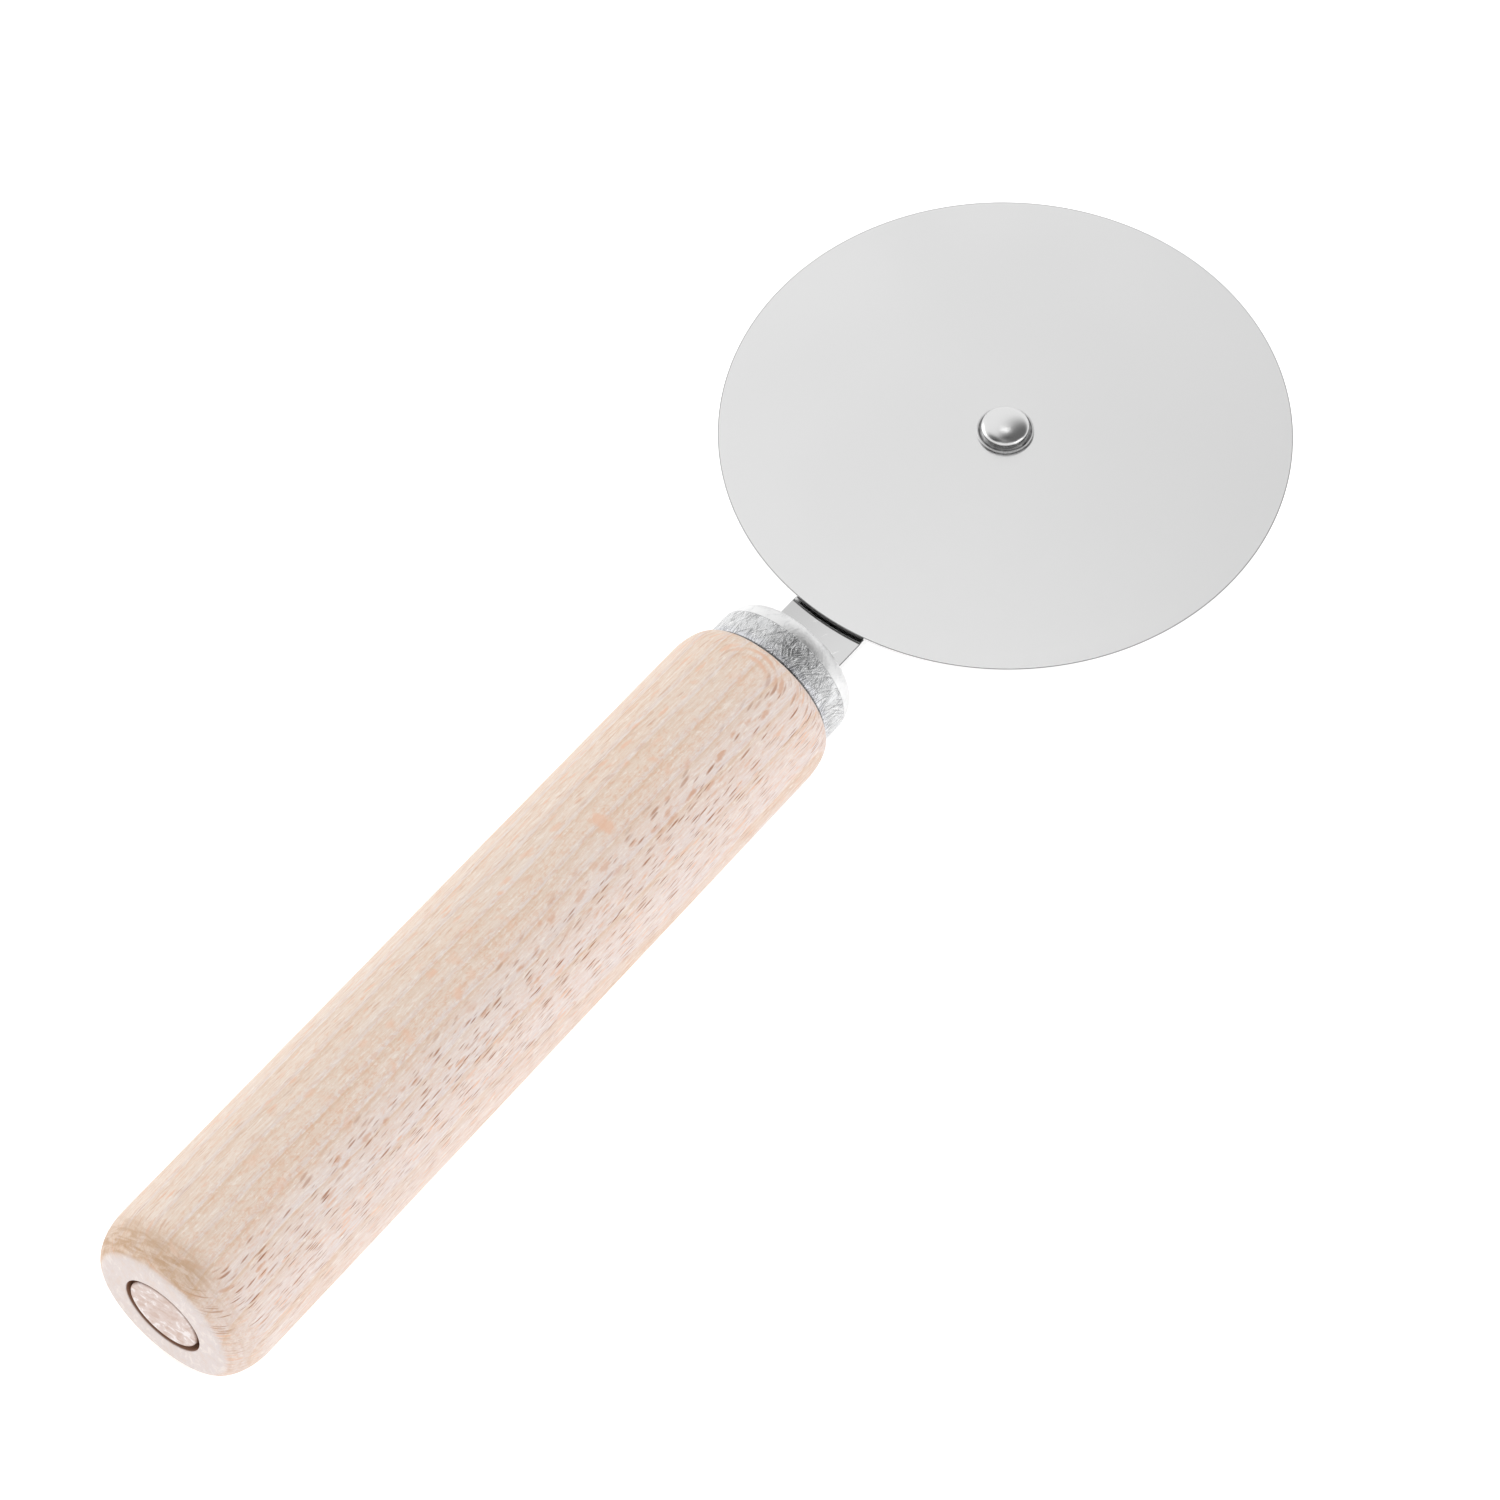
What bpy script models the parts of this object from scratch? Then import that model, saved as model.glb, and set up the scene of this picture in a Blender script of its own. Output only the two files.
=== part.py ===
"""Pastry cutter wheel: a steel disc spinning on a flat arm, with a turned beech handle.

Metres, +Z up. The cutter lies flat. X runs along the handle towards the wheel, and the
wheel's pivot stands along Z. The origin is under the middle of the whole length, level
with the lowest line of the handle.
"""

import math

import bmesh
import bpy
from mathutils import Vector

MM = 0.001

# Wheel and the stack of pieces on its pivot
WHEEL_RADIUS = 40.0 * MM
WHEEL_THICKNESS = 0.6 * MM
EDGE_BREAK = 0.06 * MM
PIVOT_HOLE_RADIUS = 2.1 * MM
SHANK_RADIUS = 2.0 * MM
STACK_GAP = 0.075 * MM
SPACER_RADIUS = 5.0 * MM
SPACER_THICKNESS = 0.35 * MM
FRONT_WASHER_RADIUS = 4.0 * MM
FRONT_WASHER_THICKNESS = 0.3 * MM
REAR_WASHER_RADIUS = 4.5 * MM
REAR_WASHER_THICKNESS = 0.5 * MM
RIVET_HEAD_RADIUS = 3.35 * MM
RIVET_HEAD_SEAT = 2.75 * MM
RIVET_HEAD_BELLY = 0.75 * MM
RIVET_HEAD_CROWN = 0.95 * MM
RIVET_TAIL_RADIUS = 3.1 * MM
RIVET_TAIL_BELLY = 0.3 * MM
RIVET_TAIL_CROWN = 0.9 * MM
CROWN_POWER = 2.4

# Flat arm, from its round tip to the narrow tail inside the tang
ARM_WIDTH = 12.0 * MM
ARM_THICKNESS = 1.5 * MM
ARM_REACH = 46.9 * MM
ARM_ROOT_DEPTH = 5.1 * MM
ARM_TAIL_WIDTH = 5.6 * MM
ARM_TAIL_LENGTH = 10.0 * MM
ARM_EDGE_BREAK = 0.12 * MM
ARM_SLOT_GAP = 0.2 * MM

# Ferrule: a drawn cap with a rounded shoulder
FERRULE_RADIUS = 10.8 * MM
FERRULE_SIDE = 4.5 * MM
FERRULE_LENGTH = 7.5 * MM
FERRULE_SHOULDER = 1.75 * MM
FERRULE_SHOULDER_START = 14.0
FERRULE_WALL = 1.0 * MM
FERRULE_FRONT_WALL = 1.2 * MM
FERRULE_INNER_FILLET = 1.2 * MM
FERRULE_BACK_GAP = 0.15 * MM

# Wooden handle, from its butt to the joint with the ferrule
HANDLE_RADIUS = 13.2 * MM
HANDLE_FRONT_RADIUS = 12.7 * MM
HANDLE_LENGTH = 124.1 * MM
BUTT_ROUND_LENGTH = 6.7 * MM
BUTT_ROUND_DEPTH = 3.5 * MM
NECK_RADIUS = 11.1 * MM
NECK_ROUND_LENGTH = 5.0 * MM
TENON_GAP = 0.2 * MM
TENON_EDGE_BREAK = 1.4 * MM
BORE_RADIUS = 2.7 * MM
FRONT_BORE_RADIUS = 3.2 * MM
COUNTERBORE_RADIUS = 6.3 * MM
COUNTERBORE_DEPTH = 22.0 * MM

# Plug that closes the counterbore
PLUG_RADIUS = 6.2 * MM
PLUG_TIP_RADIUS = 5.4 * MM
PLUG_TAPER = 4.0 * MM
PLUG_LENGTH = 12.0 * MM
PLUG_RECESS = 0.1 * MM
PLUG_EDGE_BREAK = 0.2 * MM

# Tang rod with the washer and nut that pull the handle together
TANG_RADIUS = 2.5 * MM
TANG_HEAD_RADIUS = 3.0 * MM
TANG_HEAD_LENGTH = 15.0 * MM
TANG_SLOT_GAP = 0.1 * MM
TANG_END_GAP = 0.6 * MM
TANG_PAST_NUT = 1.5 * MM
TANG_CHAMFER = 0.5 * MM
TANG_WASHER_RADIUS = 5.0 * MM
TANG_WASHER_HOLE = 2.65 * MM
TANG_WASHER_THICKNESS = 1.0 * MM
NUT_ACROSS_FLATS = 8.0 * MM
NUT_THICKNESS = 4.0 * MM
NUT_HOLE_RADIUS = 2.6 * MM
NUT_CHAMFER = 0.35 * MM
SEAT_GAP = 0.1 * MM

# Places that follow from the sizes
TOTAL_LENGTH = HANDLE_LENGTH + FERRULE_LENGTH + ARM_REACH + WHEEL_RADIUS
AXIS_Z = HANDLE_RADIUS
BUTT_X = -TOTAL_LENGTH / 2
JOINT_X = BUTT_X + HANDLE_LENGTH
FERRULE_FRONT_X = JOINT_X + FERRULE_LENGTH
PIVOT_X = FERRULE_FRONT_X + ARM_REACH
TENON_LENGTH = FERRULE_LENGTH - FERRULE_FRONT_WALL - TENON_GAP
TENON_RADIUS = FERRULE_RADIUS - FERRULE_WALL - TENON_GAP
ARM_ROOT_X = FERRULE_FRONT_X - ARM_ROOT_DEPTH
TANG_FRONT_X = ARM_ROOT_X - TANG_END_GAP
ARM_TOP = ARM_THICKNESS / 2
SPACER_BASE = ARM_TOP + STACK_GAP
WHEEL_BASE = SPACER_BASE + SPACER_THICKNESS + STACK_GAP
FRONT_WASHER_BASE = WHEEL_BASE + WHEEL_THICKNESS + STACK_GAP
HEAD_BASE = FRONT_WASHER_BASE + FRONT_WASHER_THICKNESS + STACK_GAP
REAR_WASHER_BASE = -ARM_TOP - STACK_GAP - REAR_WASHER_THICKNESS
TAIL_BASE = REAR_WASHER_BASE - STACK_GAP

WHEEL_SEGMENTS = 128
HANDLE_SEGMENTS = 32
SMALL_SEGMENTS = 32
SHARP_ANGLE = math.radians(28)


def clear_scene():
    for obj in list(bpy.data.objects):
        bpy.data.objects.remove(obj, do_unlink=True)


def new_collection(name):
    collection = bpy.data.collections.new(name)
    bpy.context.scene.collection.children.link(collection)
    return collection


def new_material(name, color, roughness, metallic):
    material = bpy.data.materials.new(name)
    material.use_nodes = True
    shader = material.node_tree.nodes["Principled BSDF"]
    shader.inputs["Base Color"].default_value = (*color, 1.0)
    shader.inputs["Roughness"].default_value = roughness
    shader.inputs["Metallic"].default_value = metallic
    return material


def quarter(center, radii, start, end, steps=6):
    """Points of an elliptical arc as (radius, height), angles in degrees from +radius."""
    points = []
    for step in range(steps + 1):
        angle = math.radians(start + (end - start) * step / steps)
        radius = center[0] + radii[0] * math.cos(angle)
        height = center[1] + radii[1] * math.sin(angle)
        points.append((radius, height))
    return points


def crown(radius, base, height, steps=7):
    """Half of a flat-topped dome, from its top on the axis down to its widest line."""
    points = []
    for step in range(steps + 1):
        angle = math.pi / 2 * (1 - step / steps)
        across = math.cos(angle) ** (2 / CROWN_POWER)
        up = math.sin(angle) ** (2 / CROWN_POWER)
        points.append((radius * across if step else 0.0, base + height * up))
    return points


def turned(name, profile, segments, closed):
    """A turned solid about local Z. The profile runs down its outer side."""
    mesh = bpy.data.meshes.new(name)
    shape = bmesh.new()
    corners = [shape.verts.new((radius, 0.0, height)) for radius, height in profile]
    for first, second in zip(corners, corners[1:]):
        shape.edges.new((first, second))
    if closed:
        shape.edges.new((corners[-1], corners[0]))
    shape.to_mesh(mesh)
    shape.free()
    obj = bpy.data.objects.new(name, mesh)
    screw = obj.modifiers.new("turn", "SCREW")
    screw.axis = "Z"
    screw.angle = math.tau
    screw.steps = segments
    screw.render_steps = segments
    screw.use_merge_vertices = True
    screw.merge_threshold = 0.001 * MM
    return obj


def ring(name, outer, inner, base, thickness, segments=SMALL_SEGMENTS):
    """A flat washer whose outer edges are lightly broken."""
    top = base + thickness
    profile = [
        (inner, top),
        (outer - EDGE_BREAK, top),
        (outer, top - EDGE_BREAK),
        (outer, base + EDGE_BREAK),
        (outer - EDGE_BREAK, base),
        (inner, base),
    ]
    return turned(name, profile, segments, closed=True)


def block(name, low, high):
    """A box between two corners, used as a cutter."""
    mesh = bpy.data.meshes.new(name)
    shape = bmesh.new()
    bmesh.ops.create_cube(shape, size=1.0)
    size = Vector(high) - Vector(low)
    bmesh.ops.scale(shape, vec=size, verts=shape.verts)
    bmesh.ops.translate(shape, vec=(Vector(low) + Vector(high)) / 2, verts=shape.verts)
    shape.to_mesh(mesh)
    shape.free()
    return bpy.data.objects.new(name, mesh)


def rod(name, radius, low, high, segments):
    """A plain cylinder along local Z, used as a cutter or a blank."""
    mesh = bpy.data.meshes.new(name)
    shape = bmesh.new()
    bmesh.ops.create_cone(
        shape, cap_ends=True, segments=segments, radius1=radius, radius2=radius, depth=high - low
    )
    bmesh.ops.translate(shape, vec=(0, 0, (low + high) / 2), verts=shape.verts)
    shape.to_mesh(mesh)
    shape.free()
    return bpy.data.objects.new(name, mesh)


def cut(obj, cutter):
    cutter.hide_render = True
    cutter.display_type = "WIRE"
    cutters.objects.link(cutter)
    boolean = obj.modifiers.new(cutter.name, "BOOLEAN")
    boolean.operation = "DIFFERENCE"
    boolean.object = cutter


def lay_along_handle(obj, x):
    """Turns local Z into world X and puts local height 0 at x on the handle's axis."""
    obj.rotation_euler = (0.0, math.pi / 2, 0.0)
    obj.location = (x, 0.0, AXIS_Z)


def stand_on_pivot(obj):
    """Keeps local Z up and puts the local origin on the pivot, level with the handle's axis."""
    obj.location = (PIVOT_X, 0.0, AXIS_Z)


def finish(obj, material):
    """Links the piece, works out its modifiers, and shades its round faces smooth."""
    parts.objects.link(obj)
    bpy.context.view_layer.update()
    graph = bpy.context.evaluated_depsgraph_get()
    mesh = bpy.data.meshes.new_from_object(obj.evaluated_get(graph))
    mesh.name = obj.name
    obj.modifiers.clear()
    obj.data = mesh
    mesh.materials.clear()
    mesh.materials.append(material)
    mesh.shade_smooth()
    mesh.set_sharp_from_angle(angle=SHARP_ANGLE)


def handle_grip():
    tenon_end = HANDLE_LENGTH + TENON_LENGTH
    tenon_corner = TENON_RADIUS - TENON_EDGE_BREAK
    neck_drop = HANDLE_FRONT_RADIUS - NECK_RADIUS
    butt_flat = HANDLE_RADIUS - BUTT_ROUND_DEPTH
    front_bore_end = TANG_FRONT_X - TANG_HEAD_LENGTH - TANG_END_GAP - BUTT_X
    profile = [(FRONT_BORE_RADIUS, tenon_end)]
    profile += quarter(
        (tenon_corner, tenon_end - TENON_EDGE_BREAK), (TENON_EDGE_BREAK, TENON_EDGE_BREAK), 90, 0, 5
    )
    profile += [(TENON_RADIUS, HANDLE_LENGTH)]
    profile += quarter(
        (NECK_RADIUS, HANDLE_LENGTH - NECK_ROUND_LENGTH), (neck_drop, NECK_ROUND_LENGTH), 90, 0
    )
    profile += quarter(
        (butt_flat, BUTT_ROUND_LENGTH), (BUTT_ROUND_DEPTH, BUTT_ROUND_LENGTH), 0, -90, 8
    )
    profile += [
        (COUNTERBORE_RADIUS, 0.0),
        (COUNTERBORE_RADIUS, COUNTERBORE_DEPTH),
        (BORE_RADIUS, COUNTERBORE_DEPTH),
        (BORE_RADIUS, front_bore_end),
        (FRONT_BORE_RADIUS, front_bore_end),
    ]
    obj = turned("handle_grip", profile, HANDLE_SEGMENTS, closed=True)
    lay_along_handle(obj, BUTT_X)
    half_width = ARM_WIDTH / 2 + ARM_SLOT_GAP
    half_height = ARM_THICKNESS / 2 + ARM_SLOT_GAP
    slot = block(
        "handle_slot_cutter",
        (TANG_FRONT_X, -half_width, AXIS_Z - half_height),
        (FERRULE_FRONT_X, half_width, AXIS_Z + half_height),
    )
    cut(obj, slot)
    finish(obj, beech)


def butt_plug():
    inner_end = PLUG_RECESS + PLUG_LENGTH
    profile = [
        (0.0, inner_end),
        (PLUG_RADIUS - PLUG_EDGE_BREAK, inner_end),
        (PLUG_RADIUS, inner_end - PLUG_EDGE_BREAK),
        (PLUG_RADIUS, PLUG_RECESS + PLUG_TAPER),
        (PLUG_TIP_RADIUS, PLUG_RECESS + PLUG_EDGE_BREAK),
        (PLUG_TIP_RADIUS - PLUG_EDGE_BREAK, PLUG_RECESS),
        (0.0, PLUG_RECESS),
    ]
    obj = turned("butt_plug", profile, SMALL_SEGMENTS, closed=False)
    lay_along_handle(obj, BUTT_X)
    finish(obj, end_grain)


def ferrule():
    front_flat = FERRULE_RADIUS - FERRULE_SHOULDER
    shoulder_length = FERRULE_LENGTH - FERRULE_SIDE
    inner_radius = FERRULE_RADIUS - FERRULE_WALL
    inner_front = FERRULE_LENGTH - FERRULE_FRONT_WALL
    fillet = (inner_radius - FERRULE_INNER_FILLET, inner_front - FERRULE_INNER_FILLET)
    # The shoulder starts a little inclined, which leaves the crisp line around the cap.
    squeeze = math.sin(math.radians(FERRULE_SHOULDER_START))
    shoulder_height = shoulder_length / (1 - squeeze)
    shoulder = quarter(
        (front_flat, FERRULE_LENGTH - shoulder_height),
        (FERRULE_SHOULDER / math.cos(math.radians(FERRULE_SHOULDER_START)), shoulder_height),
        90,
        FERRULE_SHOULDER_START,
    )
    profile = [*shoulder]
    profile += [(FERRULE_RADIUS, FERRULE_BACK_GAP), (inner_radius, FERRULE_BACK_GAP)]
    profile += quarter(fillet, (FERRULE_INNER_FILLET, FERRULE_INNER_FILLET), 0, 90, 5)
    profile += [(0.0, inner_front)]
    profile.insert(0, (0.0, FERRULE_LENGTH))
    obj = turned("ferrule", profile, HANDLE_SEGMENTS, closed=False)
    lay_along_handle(obj, JOINT_X)
    half_width = ARM_WIDTH / 2 + ARM_SLOT_GAP
    half_height = ARM_THICKNESS / 2 + ARM_SLOT_GAP
    slot = block(
        "ferrule_slot_cutter",
        (JOINT_X, -half_width, AXIS_Z - half_height),
        (FERRULE_FRONT_X + FERRULE_LENGTH, half_width, AXIS_Z + half_height),
    )
    cut(obj, slot)
    finish(obj, ferrule_metal)


def arm():
    """One flat blank: round tip, straight sides, and a narrow tail for the tang."""
    half = ARM_WIDTH / 2
    tail_half = ARM_TAIL_WIDTH / 2
    root = ARM_ROOT_X - PIVOT_X
    tail_end = root - ARM_TAIL_LENGTH
    outline = quarter((0.0, 0.0), (half, half), -90, 90, 24)
    outline += [(root, half), (root, tail_half), (tail_end, tail_half)]
    outline += [(tail_end, -tail_half), (root, -tail_half), (root, -half)]
    curve = bpy.data.curves.new("arm_outline", "CURVE")
    curve.dimensions = "2D"
    curve.fill_mode = "BOTH"
    curve.extrude = ARM_THICKNESS / 2
    spline = curve.splines.new("POLY")
    spline.points.add(len(outline) - 1)
    for point, (x, y) in zip(spline.points, outline):
        point.co = (x, y, 0.0, 1.0)
    spline.use_cyclic_u = True
    flat = bpy.data.objects.new("arm_outline", curve)
    bpy.context.scene.collection.objects.link(flat)
    bpy.context.view_layer.update()
    graph = bpy.context.evaluated_depsgraph_get()
    mesh = bpy.data.meshes.new_from_object(flat.evaluated_get(graph))
    bpy.data.objects.remove(flat)
    shape = bmesh.new()
    shape.from_mesh(mesh)
    bmesh.ops.remove_doubles(shape, verts=shape.verts, dist=0.001 * MM)
    bmesh.ops.recalc_face_normals(shape, faces=shape.faces)
    shape.to_mesh(mesh)
    shape.free()
    obj = bpy.data.objects.new("arm", mesh)
    stand_on_pivot(obj)
    bevel = obj.modifiers.new("edge_break", "BEVEL")
    bevel.width = ARM_EDGE_BREAK
    bevel.segments = 2
    bevel.angle_limit = math.radians(60)
    hole = rod("arm_hole_cutter", PIVOT_HOLE_RADIUS, -ARM_WIDTH, ARM_WIDTH, SMALL_SEGMENTS)
    stand_on_pivot(hole)
    cut(obj, hole)
    finish(obj, steel)


def tang_rod():
    nut_seat = COUNTERBORE_DEPTH - SEAT_GAP - TANG_WASHER_THICKNESS - SEAT_GAP
    rear = nut_seat - NUT_THICKNESS - TANG_PAST_NUT
    front = TANG_FRONT_X - BUTT_X
    head_end = front - TANG_HEAD_LENGTH
    profile = [
        (0.0, front),
        (TANG_HEAD_RADIUS - TANG_CHAMFER, front),
        (TANG_HEAD_RADIUS, front - TANG_CHAMFER),
        (TANG_HEAD_RADIUS, head_end + TANG_CHAMFER),
        (TANG_RADIUS, head_end),
        (TANG_RADIUS, rear + TANG_CHAMFER),
        (TANG_RADIUS - TANG_CHAMFER, rear),
        (0.0, rear),
    ]
    obj = turned("tang_rod", profile, SMALL_SEGMENTS, closed=False)
    lay_along_handle(obj, BUTT_X)
    half_height = ARM_THICKNESS / 2 + TANG_SLOT_GAP
    slot = block(
        "tang_slot_cutter",
        (ARM_ROOT_X - ARM_TAIL_LENGTH - TANG_END_GAP, -FERRULE_RADIUS, AXIS_Z - half_height),
        (FERRULE_FRONT_X, FERRULE_RADIUS, AXIS_Z + half_height),
    )
    cut(obj, slot)
    finish(obj, zinc)


def tang_washer():
    base = COUNTERBORE_DEPTH - SEAT_GAP - TANG_WASHER_THICKNESS
    obj = ring(
        "tang_washer", TANG_WASHER_RADIUS, TANG_WASHER_HOLE, base, TANG_WASHER_THICKNESS
    )
    lay_along_handle(obj, BUTT_X)
    finish(obj, zinc)


def tang_nut():
    top = COUNTERBORE_DEPTH - 2 * SEAT_GAP - TANG_WASHER_THICKNESS
    corner = NUT_ACROSS_FLATS / 2 / math.cos(math.pi / 6)
    obj = rod("tang_nut", corner, top - NUT_THICKNESS, top, 6)
    lay_along_handle(obj, BUTT_X)
    bevel = obj.modifiers.new("chamfer", "BEVEL")
    bevel.width = NUT_CHAMFER
    bevel.segments = 1
    bevel.angle_limit = math.radians(75)
    hole = rod("nut_hole_cutter", NUT_HOLE_RADIUS, 0.0, HANDLE_LENGTH, SMALL_SEGMENTS)
    lay_along_handle(hole, BUTT_X)
    cut(obj, hole)
    finish(obj, zinc)


def cutting_wheel():
    obj = ring(
        "cutting_wheel",
        WHEEL_RADIUS,
        PIVOT_HOLE_RADIUS,
        WHEEL_BASE,
        WHEEL_THICKNESS,
        WHEEL_SEGMENTS,
    )
    stand_on_pivot(obj)
    finish(obj, steel)


def pivot_rivet():
    head_widest = HEAD_BASE + RIVET_HEAD_BELLY
    tail_widest = TAIL_BASE - RIVET_TAIL_BELLY
    profile = crown(RIVET_HEAD_RADIUS, head_widest, RIVET_HEAD_CROWN)
    belly = RIVET_HEAD_RADIUS - RIVET_HEAD_SEAT
    profile += quarter((RIVET_HEAD_SEAT, head_widest), (belly, RIVET_HEAD_BELLY), 0, -90, 4)[1:]
    profile += [(SHANK_RADIUS, HEAD_BASE), (SHANK_RADIUS, TAIL_BASE)]
    profile += [(RIVET_TAIL_RADIUS - RIVET_TAIL_BELLY, TAIL_BASE)]
    tail = crown(RIVET_TAIL_RADIUS, 0.0, RIVET_TAIL_CROWN)
    profile += [(radius, tail_widest - height) for radius, height in reversed(tail)]
    obj = turned("pivot_rivet", profile, SMALL_SEGMENTS, closed=False)
    stand_on_pivot(obj)
    finish(obj, steel)


def pivot_washers():
    sizes = [
        ("front_washer", FRONT_WASHER_RADIUS, FRONT_WASHER_BASE, FRONT_WASHER_THICKNESS),
        ("spacer_washer", SPACER_RADIUS, SPACER_BASE, SPACER_THICKNESS),
        ("rear_washer", REAR_WASHER_RADIUS, REAR_WASHER_BASE, REAR_WASHER_THICKNESS),
    ]
    for name, radius, base, thickness in sizes:
        obj = ring(name, radius, PIVOT_HOLE_RADIUS, base, thickness)
        stand_on_pivot(obj)
        finish(obj, steel)


clear_scene()
parts = new_collection("pastry_cutter_wheel")
cutters = new_collection("cutters")
beech = new_material("beech", (0.80, 0.66, 0.54), 0.55, 0.0)
end_grain = new_material("beech_end_grain", (0.78, 0.64, 0.55), 0.65, 0.0)
steel = new_material("polished_steel", (0.72, 0.72, 0.72), 0.18, 1.0)
ferrule_metal = new_material("brushed_ferrule", (0.62, 0.63, 0.64), 0.38, 1.0)
zinc = new_material("plated_steel", (0.60, 0.61, 0.62), 0.35, 1.0)
handle_grip()
butt_plug()
ferrule()
arm()
tang_rod()
tang_washer()
tang_nut()
cutting_wheel()
pivot_rivet()
pivot_washers()
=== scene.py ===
import math

import bmesh
import bpy
from mathutils import Matrix, Vector


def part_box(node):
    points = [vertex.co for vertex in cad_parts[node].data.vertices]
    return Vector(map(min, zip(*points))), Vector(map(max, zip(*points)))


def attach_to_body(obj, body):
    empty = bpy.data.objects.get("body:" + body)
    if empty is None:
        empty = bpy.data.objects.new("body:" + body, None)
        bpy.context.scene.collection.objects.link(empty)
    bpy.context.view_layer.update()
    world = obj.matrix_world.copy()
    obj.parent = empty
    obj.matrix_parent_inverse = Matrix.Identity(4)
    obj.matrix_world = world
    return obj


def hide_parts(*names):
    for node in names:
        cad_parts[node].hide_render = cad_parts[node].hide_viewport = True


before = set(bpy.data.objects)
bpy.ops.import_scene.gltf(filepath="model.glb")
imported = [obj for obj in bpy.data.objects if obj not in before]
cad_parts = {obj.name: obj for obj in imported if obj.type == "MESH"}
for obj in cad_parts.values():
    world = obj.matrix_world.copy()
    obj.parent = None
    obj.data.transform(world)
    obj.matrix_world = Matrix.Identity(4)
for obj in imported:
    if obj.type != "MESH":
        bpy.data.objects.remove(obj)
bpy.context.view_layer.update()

mm = 0.001
print("frame loaded")

# places that several pieces share, read from the frame
gripLow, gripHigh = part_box("handle_grip")
ferruleLow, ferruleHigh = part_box("ferrule")
armLow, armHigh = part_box("arm")
wheelLow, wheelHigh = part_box("cutting_wheel")
buttX = gripLow.x
axisZ = (gripLow.z + gripHigh.z) / 2
pivotX = (wheelLow.x + wheelHigh.x) / 2
ferruleFrontX = ferruleHigh.x
jointGap = 0.15 * mm  # between the grip and the ferrule
plugHole = 6.3 * mm  # radius of the hole that the plug closes
pivotBore = 2.1 * mm  # radius of the holes that the rivet goes through
roundAngle = 28.0  # degrees: an edge sharper than this stays sharp on a turned piece
flatAngle = 8.0  # the same on a thin flat piece
capAngle = 10.0  # the same on the ferrule
alongHandle = (0.0, math.pi / 2, 0.0)  # turns a piece's own Z into X
upright = (0.0, 0.0, 0.0)


# shader helpers

def addNode(tree, kind, inputs=None, **settings):
    node = tree.nodes.new(kind)
    for name, value in settings.items():
        setattr(node, name, value)
    for name, value in (inputs or {}).items():
        if isinstance(value, bpy.types.NodeSocket):
            tree.links.new(value, node.inputs[name])
        else:
            node.inputs[name].default_value = value
    return node


def calc(tree, operation, first, second=0.5):
    return addNode(tree, "ShaderNodeMath", {0: first, 1: second}, operation=operation).outputs[0]


def scaleAndAdd(tree, value, factor, added):
    inputs = {0: value, 1: factor, 2: added}
    return addNode(tree, "ShaderNodeMath", inputs, operation="MULTIPLY_ADD").outputs[0]


def vectorMath(tree, operation, first, second):
    return addNode(tree, "ShaderNodeVectorMath", {0: first, 1: second}, operation=operation).outputs[0]


def product(tree, *values):
    result = values[0]
    for value in values[1:]:
        result = calc(tree, "MULTIPLY", result, value)
    return result


def distanceFrom(tree, coordinate, kept):
    # kept has 1 for each direction that counts and 0 for the axis itself
    flat = vectorMath(tree, "MULTIPLY", coordinate, kept)
    return addNode(tree, "ShaderNodeVectorMath", {0: flat}, operation="LENGTH").outputs["Value"]


def ramp(tree, value, fromLow, fromHigh, toLow=0.0, toHigh=1.0, smooth=True):
    inputs = {"Value": value, "From Min": fromLow, "From Max": fromHigh, "To Min": toLow, "To Max": toHigh}
    kind = "SMOOTHSTEP" if smooth else "LINEAR"
    return addNode(tree, "ShaderNodeMapRange", inputs, interpolation_type=kind).outputs[0]


def blendColors(tree, factor, first, second, how="MIX"):
    node = addNode(tree, "ShaderNodeMix", data_type="RGBA", blend_type=how)
    for index, value in ((0, factor), (6, first), (7, second)):
        if isinstance(value, bpy.types.NodeSocket):
            tree.links.new(value, node.inputs[index])
        elif index:
            node.inputs[index].default_value = (*value, 1.0)
        else:
            node.inputs[index].default_value = value
    return node.outputs[2]


def stretched(tree, coordinate, size, turn=(0, 0, 0), place=(0, 0, 0)):
    # one unit of the result is size long; turn is in degrees
    inputs = {
        "Vector": coordinate,
        "Location": place,
        "Rotation": [math.radians(angle) for angle in turn],
        "Scale": size,
    }
    return addNode(tree, "ShaderNodeMapping", inputs, vector_type="TEXTURE").outputs[0]


def clouds(tree, coordinate, size, detail=2.0, roughness=0.5, distortion=0.0, turn=(0, 0, 0)):
    inputs = {
        "Vector": stretched(tree, coordinate, size, turn),
        "Scale": 1.0,
        "Detail": detail,
        "Roughness": roughness,
        "Distortion": distortion,
    }
    return addNode(tree, "ShaderNodeTexNoise", inputs)


def marks(tree, coordinate, size, reach, share, turn=(0, 0, 0), place=(0, 0, 0)):
    # scattered lens-shaped marks; share is how many of the places hold one
    spots = addNode(
        tree, "ShaderNodeTexVoronoi",
        {"Vector": stretched(tree, coordinate, size, turn, place), "Scale": 1.0},
    )
    chance = addNode(tree, "ShaderNodeSeparateColor", {"Color": spots.outputs["Color"]})
    edge = product(tree, scaleAndAdd(tree, chance.outputs["Green"], 0.55, 0.45), reach)
    near = calc(tree, "SUBTRACT", edge, spots.outputs["Distance"])
    body = ramp(tree, near, 0.0, reach * 0.5)
    present = calc(tree, "LESS_THAN", chance.outputs["Red"], share)
    weight = ramp(tree, chance.outputs["Blue"], 0.0, 1.0, 0.45, 1.0, smooth=False)
    return product(tree, body, present, weight)


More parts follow.
